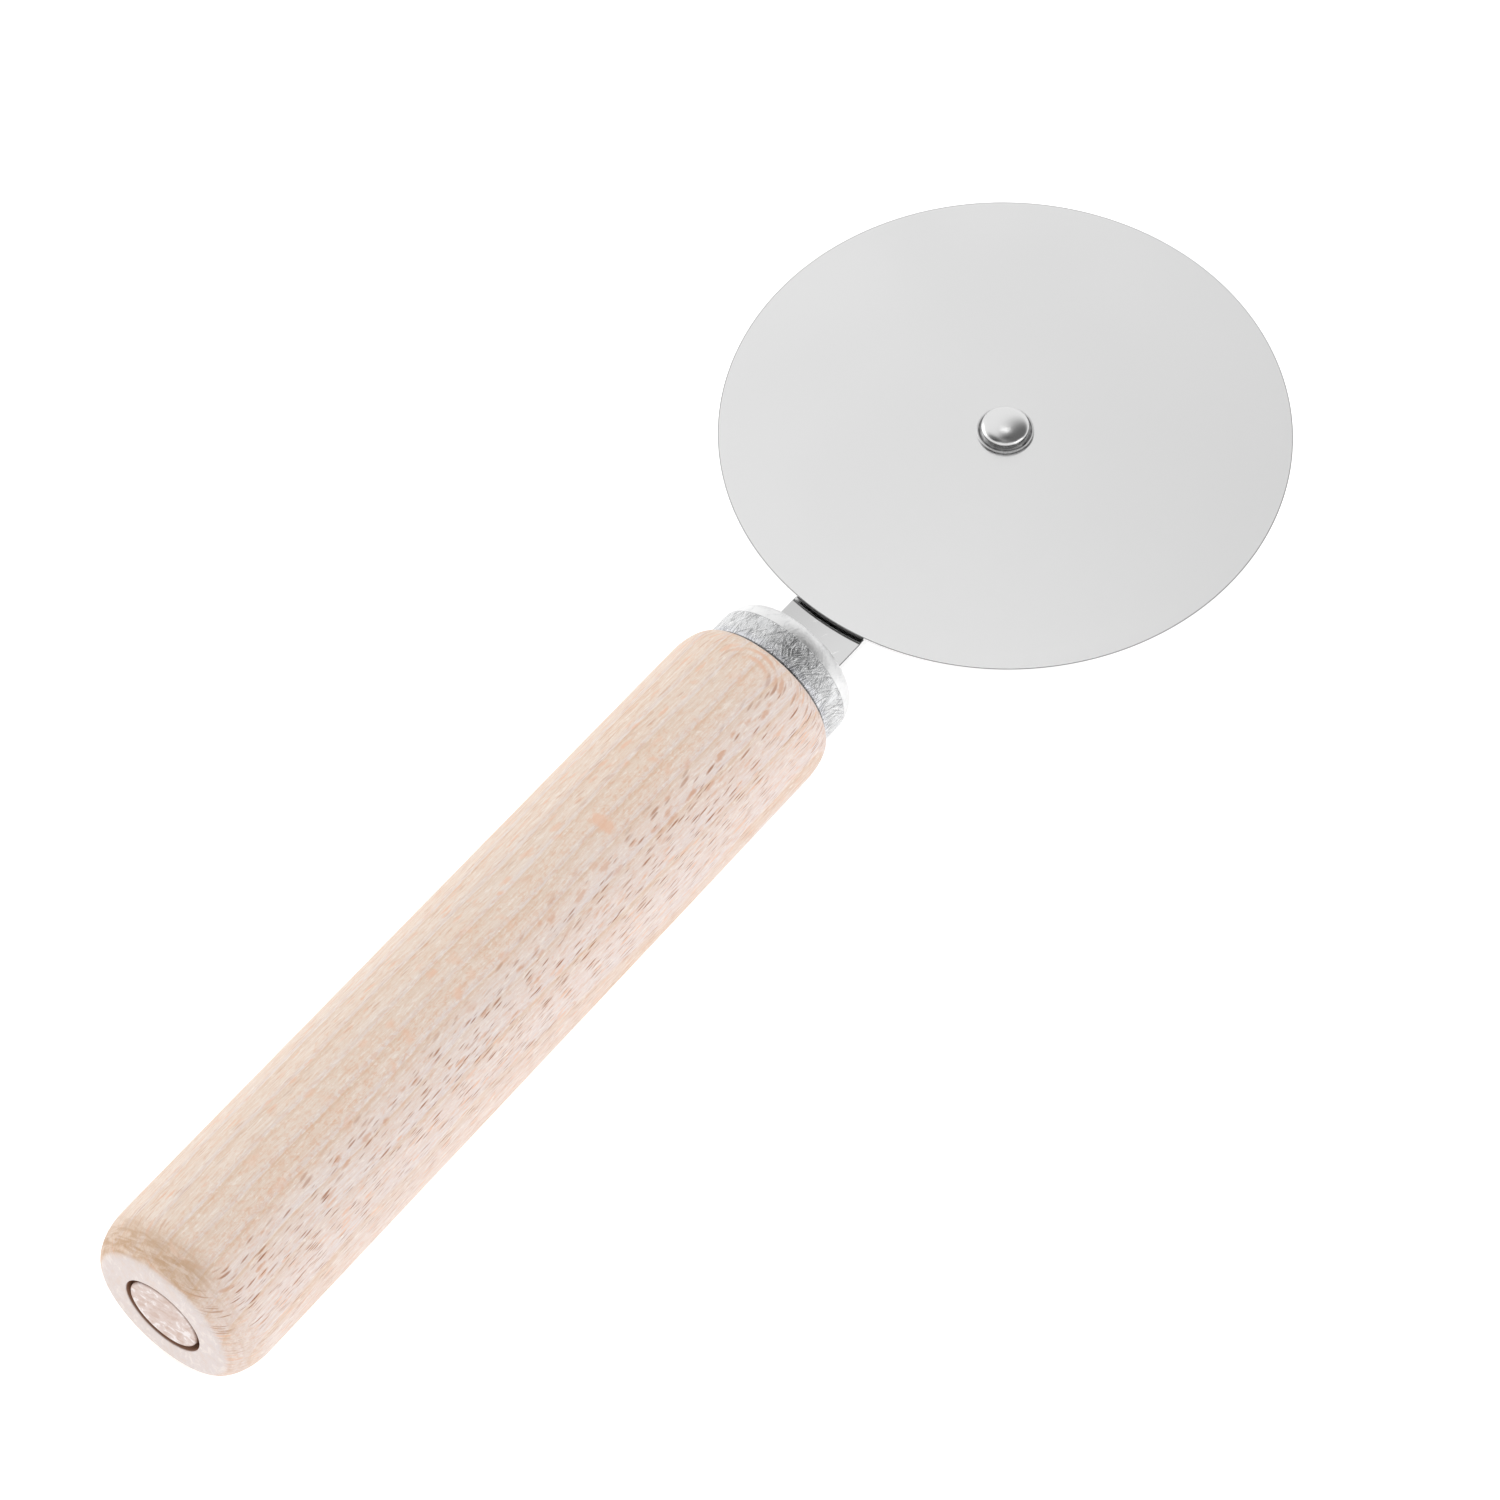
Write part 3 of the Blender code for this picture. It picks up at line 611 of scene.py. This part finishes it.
def turningTree():
    tree = bpy.data.node_groups.new("turnedPiece", "GeometryNodeTree")
    sockets = tree.interface
    sockets.new_socket("Geometry", in_out="INPUT", socket_type="NodeSocketGeometry")
    sockets.new_socket("Segments", in_out="INPUT", socket_type="NodeSocketInt")
    sockets.new_socket("Guide Radius", in_out="INPUT", socket_type="NodeSocketFloat")
    sockets.new_socket("Turn", in_out="INPUT", socket_type="NodeSocketVector")
    sockets.new_socket("Place", in_out="INPUT", socket_type="NodeSocketVector")
    sockets.new_socket("Finish", in_out="INPUT", socket_type="NodeSocketMaterial")
    sockets.new_socket("Geometry", in_out="OUTPUT", socket_type="NodeSocketGeometry")
    given = addNode(tree, "NodeGroupInput").outputs
    profile = addNode(tree, "GeometryNodeMeshToCurve", {"Mesh": given["Geometry"]})
    inward = addNode(tree, "ShaderNodeMath", {0: given["Guide Radius"], 1: -1.0}, operation="MULTIPLY")
    offset = addNode(tree, "ShaderNodeCombineXYZ", {"X": inward.outputs[0]})
    moved = addNode(
        tree, "GeometryNodeTransform",
        {"Geometry": profile.outputs[0], "Translation": offset.outputs[0], "Scale": (1, -1, 1)},
    )
    circle = addNode(
        tree, "GeometryNodeCurvePrimitiveCircle",
        {"Resolution": given["Segments"], "Radius": given["Guide Radius"]},
    )
    skin = addNode(
        tree, "GeometryNodeCurveToMesh", {"Curve": circle.outputs[0], "Profile Curve": moved.outputs[0]}
    )
    welded = addNode(
        tree, "GeometryNodeMergeByDistance",
        {"Geometry": skin.outputs[0], "Distance": 0.0005 * mm},
    )
    placed = addNode(
        tree, "GeometryNodeTransform",
        {"Geometry": welded.outputs[0], "Translation": given["Place"], "Rotation": given["Turn"]},
    )
    whole = addNode(tree, "GeometryNodeRealizeInstances", {"Geometry": placed.outputs[0]})
    painted = addNode(
        tree, "GeometryNodeSetMaterial", {"Geometry": whole.outputs[0], "Material": given["Finish"]}
    )
    output = addNode(tree, "NodeGroupOutput")
    tree.links.new(painted.outputs[0], output.inputs[0])
    return tree


def setInputs(modifier, values):
    for item in modifier.node_group.interface.items_tree:
        if item.item_type == "SOCKET" and item.in_out == "INPUT" and item.name in values:
            modifier[item.identifier] = values[item.name]


def toPlainMesh(piece, sharpAngle=roundAngle):
    # works the modifiers out, mends the normals and shades the round faces smooth
    bpy.context.view_layer.update()
    graph = bpy.context.evaluated_depsgraph_get()
    mesh = bpy.data.meshes.new_from_object(piece.evaluated_get(graph))
    piece.modifiers.clear()
    mesh.name = piece.name
    piece.data = mesh
    shape = bmesh.new()
    shape.from_mesh(mesh)
    bmesh.ops.remove_doubles(shape, verts=shape.verts, dist=0.0002 * mm)
    bmesh.ops.recalc_face_normals(shape, faces=shape.faces)
    shape.to_mesh(mesh)
    shape.free()
    mesh.shade_smooth()
    mesh.set_sharp_from_angle(angle=math.radians(sharpAngle))
    return piece


def turnedPiece(name, profile, segments, turn, place, finish, closed=False, sharpAngle=roundAngle):
    mesh = bpy.data.meshes.new(name)
    edges = [(step, step + 1) for step in range(len(profile) - 1)]
    if closed:
        edges.append((len(profile) - 1, 0))
    mesh.from_pydata([(radius, height, 0.0) for radius, height in profile], edges, [])
    piece = bpy.data.objects.new(name, mesh)
    bpy.context.scene.collection.objects.link(piece)
    modifier = piece.modifiers.new("turning", "NODES")
    modifier.node_group = turning
    setInputs(modifier, {
        "Segments": segments,
        "Guide Radius": 0.01,
        "Turn": turn,
        "Place": place,
        "Finish": finish,
    })
    return toPlainMesh(piece, sharpAngle)


def arc(center, radii, start, end, steps):
    points = []
    for step in range(steps + 1):
        angle = math.radians(start + (end - start) * step / steps)
        points.append((center[0] + radii[0] * math.cos(angle), center[1] + radii[1] * math.sin(angle)))
    return points


def cutSlot(piece, low, high):
    mesh = bpy.data.meshes.new("slotCutter")
    shape = bmesh.new()
    bmesh.ops.create_cube(shape, size=1.0)
    bmesh.ops.scale(shape, vec=Vector(high) - Vector(low), verts=shape.verts)
    bmesh.ops.translate(shape, vec=(Vector(low) + Vector(high)) / 2, verts=shape.verts)
    shape.to_mesh(mesh)
    shape.free()
    cutter = bpy.data.objects.new("slotCutter", mesh)
    bpy.context.scene.collection.objects.link(cutter)
    boolean = piece.modifiers.new("slot", "BOOLEAN")
    boolean.operation = "DIFFERENCE"
    boolean.object = cutter
    toPlainMesh(piece)
    bpy.data.objects.remove(cutter)


def attach(piece, node, body):
    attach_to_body(piece, body)
    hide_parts(node)


turning = turningTree()


# grip
grip = {
    "segments": 256,
    "frontRadius": 12.7 * mm,
    "buttRoundLength": 6.7 * mm,
    "buttRoundDepth": 3.5 * mm,
    "neckRadius": 11.1 * mm,
    "neckRoundLength": 5.0 * mm,
    "tenonRadius": 9.6 * mm,
    "tenonEdge": 1.4 * mm,
    "boreRadius": 2.7 * mm,
    "frontBoreRadius": 3.2 * mm,
    "counterboreDepth": 22.0 * mm,
    "boreEdge": 0.12 * mm,
    "rodHead": 15.6 * mm,  # length of the wider bore, for the rod's head
}


def makeGrip():
    radius = gripHigh.y
    jointX = ferruleLow.x - jointGap
    length = jointX - buttX
    tenonEnd = gripHigh.x - buttX
    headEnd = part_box("tang_rod")[1].x - buttX - grip["rodHead"]
    edge = grip["boreEdge"]
    tenonCorner = grip["tenonRadius"] - grip["tenonEdge"]
    profile = [(grip["frontBoreRadius"], tenonEnd)]
    profile += arc((tenonCorner, tenonEnd - grip["tenonEdge"]), (grip["tenonEdge"],) * 2, 90, 0, 8)
    profile += [(grip["tenonRadius"], length)]
    neckDrop = grip["frontRadius"] - grip["neckRadius"]
    neckStart = length - grip["neckRoundLength"]
    profile += arc((grip["neckRadius"], neckStart), (neckDrop, grip["neckRoundLength"]), 90, 0, 16)
    for step in range(1, 12):
        share = step / 12
        profile.append((
            grip["frontRadius"] + (radius - grip["frontRadius"]) * share,
            neckStart * (1 - share) + grip["buttRoundLength"] * share,
        ))
    flat = radius - grip["buttRoundDepth"]
    profile += arc(
        (flat, grip["buttRoundLength"]), (grip["buttRoundDepth"], grip["buttRoundLength"]), 0, -90, 24
    )
    hole = plugHole
    profile += arc((hole + edge, edge), (edge, edge), -90, -180, 3)
    profile += [
        (hole, grip["counterboreDepth"]),
        (grip["boreRadius"], grip["counterboreDepth"]),
        (grip["boreRadius"], headEnd),
        (grip["frontBoreRadius"], headEnd),
    ]
    piece = turnedPiece(
        "beech_grip", profile, grip["segments"], alongHandle, (buttX, 0.0, axisZ), beechWood, closed=True
    )
    gap = ferrule["slotGap"]
    cutSlot(
        piece,
        (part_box("tang_rod")[1].x, armLow.y - gap, armLow.z - gap),
        (ferruleFrontX, armHigh.y + gap, armHigh.z + gap),
    )
    attach(piece, "handle_grip", "handle")


def makePlug():
    low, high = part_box("butt_plug")
    length = high.x - low.x
    radius = high.y
    tip = plug["tip"]
    taper = plug["taper"]
    edge = plug["edge"]
    profile = [(0.0, length), (radius - edge, length), (radius, length - edge), (radius, taper)]
    profile += [(tip + 0.02 * mm, edge)]
    profile += arc((tip - edge, edge), (edge, edge), 0, -90, 5)
    profile += [(tip * share / 4, 0.0) for share in (3, 2, 1)]
    profile += [(0.0, 0.0)]
    piece = turnedPiece("end_grain_plug", profile, 160, alongHandle, (low.x, 0.0, axisZ), endGrain)
    for vertex in piece.data.vertices:
        share = 1 - (vertex.co.x - low.x) / taper
        vertex.co.z += plug["tipShift"] * max(share, 0.0)
    piece.data.update()
    attach(piece, "butt_plug", "handle")


def makeFerrule():
    length = ferruleHigh.x - ferruleLow.x
    radius = ferruleHigh.y
    flat = radius - ferrule["shoulder"]
    start = math.radians(ferrule["shoulderStart"])
    shoulderLength = length + jointGap - ferrule["side"]
    height = shoulderLength / (1 - math.sin(start))
    inner = radius - ferrule["wall"]
    innerFront = length - ferrule["frontWall"]
    fillet = ferrule["fillet"]
    edge = ferrule["lip"]
    profile = [(0.0, length), (flat * 0.5, length)]
    shoulderRadii = (ferrule["shoulder"] / math.cos(start), height)
    profile += arc((flat, length - height), shoulderRadii, 90, ferrule["shoulderStart"], 24)
    profile += arc((radius - edge, edge), (edge, edge), 0, -90, 4)
    profile += [(inner, 0.0)]
    profile += arc((inner - fillet, innerFront - fillet), (fillet, fillet), 0, 90, 8)
    profile += [(0.0, innerFront)]
    piece = turnedPiece("ferrule_cap", profile, 256, alongHandle, (ferruleLow.x, 0.0, axisZ), ferruleMetal,
                        sharpAngle=capAngle)
    gap = ferrule["slotGap"]
    cutSlot(
        piece,
        (ferruleLow.x - length, armLow.y - gap, armLow.z - gap),
        (ferruleHigh.x + length, armHigh.y + gap, armHigh.z + gap),
    )
    piece.data.set_sharp_from_angle(angle=math.radians(capAngle))
    attach(piece, "ferrule", "handle")


arm = {
    "tailHalf": 2.8 * mm,
    "tailLength": 10.0 * mm,
    "edge": 0.14 * mm,
    "drillReach": 5.0 * mm,
}


def makeArm():
    half = armHigh.y
    root = armLow.x + arm["tailLength"]
    outline = arc((pivotX, 0.0), (half, half), -90, 90, 64)
    outline += [(root, half), (root, arm["tailHalf"]), (armLow.x, arm["tailHalf"])]
    outline += [(armLow.x, -arm["tailHalf"]), (root, -arm["tailHalf"]), (root, -half)]
    shape = bmesh.new()
    corners = [shape.verts.new((x, y, armLow.z)) for x, y in outline]
    face = shape.faces.new(corners)
    grown = bmesh.ops.extrude_face_region(shape, geom=[face])
    raised = [item for item in grown["geom"] if isinstance(item, bmesh.types.BMVert)]
    bmesh.ops.translate(shape, vec=(0, 0, armHigh.z - armLow.z), verts=raised)
    bmesh.ops.recalc_face_normals(shape, faces=shape.faces)
    mesh = bpy.data.meshes.new("flat_arm")
    shape.to_mesh(mesh)
    shape.free()
    piece = bpy.data.objects.new("flat_arm", mesh)
    bpy.context.scene.collection.objects.link(piece)
    piece.data.materials.append(armMetal)
    bevel = piece.modifiers.new("edges", "BEVEL")
    bevel.width = arm["edge"]
    bevel.segments = 4
    bevel.angle_limit = math.radians(50)
    reach = arm["drillReach"]
    drill = turnedPiece(
        "armDrill",
        [(0.0, -reach), (pivotBore, -reach), (pivotBore, reach), (0.0, reach)],
        96, upright, (pivotX, 0.0, axisZ), armMetal,
    )
    boolean = piece.modifiers.new("hole", "BOOLEAN")
    boolean.operation = "DIFFERENCE"
    boolean.object = drill
    toPlainMesh(piece, flatAngle)
    bpy.data.objects.remove(drill)
    attach(piece, "arm", "handle")


def ringPiece(name, node, edge, segments, finish, body, slot):
    low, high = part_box(node)
    inner = pivotBore
    outer = high.y
    thickness = high.z - low.z
    profile = arc((inner + edge / 2, thickness - edge / 2), (edge / 2, edge / 2), 180, 90, 2)
    profile += [(inner + (outer - inner) * share, thickness) for share in (0.35, 0.7)]
    profile += arc((outer - edge, thickness - edge), (edge, edge), 90, 0, 4)
    profile += arc((outer - edge, edge), (edge, edge), 0, -90, 4)
    profile += [(inner + (outer - inner) * share, 0.0) for share in (0.7, 0.35)]
    profile += arc((inner + edge / 2, edge / 2), (edge / 2, edge / 2), -90, -180, 2)
    piece = turnedPiece(name, profile, segments, upright, (pivotX, 0.0, low.z), finish, closed=True,
                        sharpAngle=flatAngle)
    attach(piece, node, body)


rings = (
    # name, node, rounding of its edges, segments, material, body, slot
    ("steel_disc", "cutting_wheel", 0.06 * mm, 512, wheelMetal, "wheel", "wheel_steel"),
    ("front_ring", "front_washer", 0.06 * mm, 128, washerMetal, "handle", "washer_steel"),
    ("spacer_ring", "spacer_washer", 0.06 * mm, 128, washerMetal, "handle", "washer_steel"),
    ("rear_ring", "rear_washer", 0.08 * mm, 128, washerMetal, "handle", "washer_steel"),
)


rivet = {
    "headRadius": 3.35 * mm,
    "headSeat": 2.75 * mm,
    "headBelly": 0.75 * mm,
    "headCrown": 0.95 * mm,
    "shank": 2.0 * mm,
    "tailRadius": 3.1 * mm,
    "tailBelly": 0.3 * mm,
    "tailCrown": 0.9 * mm,
    "power": 2.05,
}


def domed(radius, base, height, steps=20):
    points = []
    for step in range(steps + 1):
        angle = math.pi / 2 * (1 - step / steps)
        out = math.cos(angle) ** (2 / rivet["power"]) if step else 0.0
        points.append((radius * out, base + height * math.sin(angle) ** (2 / rivet["power"])))
    return points


def makeRivet():
    low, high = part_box("pivot_rivet")
    widest = high.z - low.z - rivet["headCrown"]
    headBase = widest - rivet["headBelly"]
    tailWidest = rivet["tailCrown"]
    tailBase = tailWidest + rivet["tailBelly"]
    belly = rivet["headRadius"] - rivet["headSeat"]
    profile = domed(rivet["headRadius"], widest, rivet["headCrown"])
    profile += arc((rivet["headSeat"], widest), (belly, rivet["headBelly"]), 0, -90, 8)[1:]
    profile += [(rivet["shank"], headBase), (rivet["shank"], tailBase)]
    profile += [(rivet["tailRadius"] - rivet["tailBelly"], tailBase)]
    tail = domed(rivet["tailRadius"], 0.0, rivet["tailCrown"])
    profile += [(radius, tailWidest - height) for radius, height in reversed(tail)]
    piece = turnedPiece("domed_rivet", profile, 128, upright, (pivotX, 0.0, low.z), rivetMetal)
    attach(piece, "pivot_rivet", "handle")


makeGrip()
makePlug()
print("wooden pieces")
makeFerrule()
makeArm()
print("ferrule and arm")
for ring in rings:
    ringPiece(*ring)
makeRivet()
print("wheel and pivot")

for nodeName in ("tang_rod", "tang_washer", "tang_nut"):
    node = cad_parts[nodeName]
    node.data.materials.clear()
    node.data.materials.append(zincMetal)


# stage
stage = {
    "floorSize": 8.0,
    "floor": (0.86, 0.86, 0.86),
    "floorGlow": 0.45,
    "floorDrop": 0.05 * mm,
    "ambient": 1.0,
    "softness": 0.8,  # how little the dark zones take from the soft light
    "aim": (18.62 * mm, 5.26 * mm, -10.27 * mm),
    "azimuth": -50.2,
    "elevation": 56.56,
    "roll": -1.22,
    "distance": 1.1,
    "lens": 189.46,
}
darkZones = {
    # name: direction, degrees that are fully dark, degrees where it ends, how dark
    "behindCamera": ((-0.423, -0.353, 0.834), 6.0, 20.0, 0.70),
    "leftFlag": ((-0.49, 0.22, 0.84), 13.0, 29.0, 0.93),
    "overhead": ((0.04, 0.03, 1.0), 4.0, 13.0, 0.75),
    "sideWall": ((0.36, -0.40, 0.84), 25.0, 50.0, 0.86),
}
softboxes = {
    # name: direction from the object, distance, width, height, brightness
    "leftPanel": ((-0.30, 0.90, 0.30), 1.0, 0.7, 0.5, 1.2),
    "rightPanel": ((0.10, -0.90, 0.42), 1.1, 0.7, 0.4, 1.2),
    "topLamp": ((0.34, 0.22, 0.915), 1.2, 0.16, 0.12, 3.0),
}


def makeFloor():
    mesh = bpy.data.meshes.new("floor")
    half = stage["floorSize"] / 2
    height = -stage["floorDrop"]
    corners = [(-half, -half, height), (half, -half, height), (half, half, height), (-half, half, height)]
    mesh.from_pydata(corners, [], [(0, 1, 2, 3)])
    floor = bpy.data.objects.new("floor", mesh)
    bpy.context.scene.collection.objects.link(floor)
    material, tree, shader, coordinate = newMaterial("paleFloor")
    shader.inputs["Base Color"].default_value = (*stage["floor"], 1.0)
    shader.inputs["Roughness"].default_value = 0.9
    shader.inputs["Specular IOR Level"].default_value = 0.0
    shader.inputs["Emission Color"].default_value = (1.0, 1.0, 1.0, 1.0)
    shader.inputs["Emission Strength"].default_value = stage["floorGlow"]
    mesh.materials.append(material)


def makeCamera():
    azimuth = math.radians(stage["azimuth"])
    elevation = math.radians(stage["elevation"])
    roll = math.radians(stage["roll"])
    back = Vector((
        math.sin(azimuth) * math.cos(elevation),
        -math.cos(azimuth) * math.cos(elevation),
        math.sin(elevation),
    ))
    right = Vector((math.cos(azimuth), math.sin(azimuth), 0.0))
    up = back.cross(right)
    turnedRight = right * math.cos(roll) + up * math.sin(roll)
    turnedUp = up * math.cos(roll) - right * math.sin(roll)
    data = bpy.data.cameras.new("camera")
    data.lens = stage["lens"]
    data.sensor_width = 36.0
    data.clip_start = 0.01
    data.clip_end = 20.0
    camera = bpy.data.objects.new("camera", data)
    bpy.context.scene.collection.objects.link(camera)
    turn = Matrix((turnedRight, turnedUp, back)).transposed()
    place = Vector(stage["aim"]) + back * stage["distance"]
    camera.matrix_world = Matrix.Translation(place) @ turn.to_4x4()
    bpy.context.scene.camera = camera


def makeLights():
    world = bpy.data.worlds.new("studio")
    world.use_nodes = True
    tree = world.node_tree
    background = tree.nodes["Background"]
    background.inputs["Color"].default_value = (1.0, 1.0, 1.0, 1.0)
    outward = addNode(tree, "ShaderNodeTexCoord").outputs["Generated"]
    strength = stage["ambient"]
    for direction, inner, outer, darkness in darkZones.values():
        inputs = {0: outward, 1: Vector(direction).normalized()}
        toward = addNode(tree, "ShaderNodeVectorMath", inputs, operation="DOT_PRODUCT")
        light = ramp(
            tree, toward.outputs["Value"],
            math.cos(math.radians(outer)), math.cos(math.radians(inner)), 1.0, 1.0 - darkness,
        )
        strength = product(tree, light, strength)
    # the dark zones show in the metal, and take only a little from the soft light
    soft = addNode(tree, "ShaderNodeLightPath").outputs["Is Diffuse Ray"]
    soft = product(tree, soft, stage["softness"])
    strength = addNode(tree, "ShaderNodeMix", {0: soft, 2: strength, 3: stage["ambient"]}).outputs[0]
    tree.links.new(strength, background.inputs["Strength"])
    bpy.context.scene.world = world
    middle = Vector((pivotX / 2, 0.0, axisZ))
    for name, (direction, distance, width, height, brightness) in softboxes.items():
        data = bpy.data.lights.new(name, "AREA")
        data.shape = "RECTANGLE"
        data.size = width
        data.size_y = height
        data.energy = brightness * width * height * math.pi
        light = bpy.data.objects.new(name, data)
        bpy.context.scene.collection.objects.link(light)
        out = Vector(direction).normalized()
        light.location = middle + out * distance
        light.rotation_mode = "QUATERNION"
        light.rotation_quaternion = out.to_track_quat("Z", "Y")
        light.visible_camera = False


makeFloor()
makeCamera()
makeLights()
bpy.context.scene.view_settings.view_transform = "Standard"
print("stage")
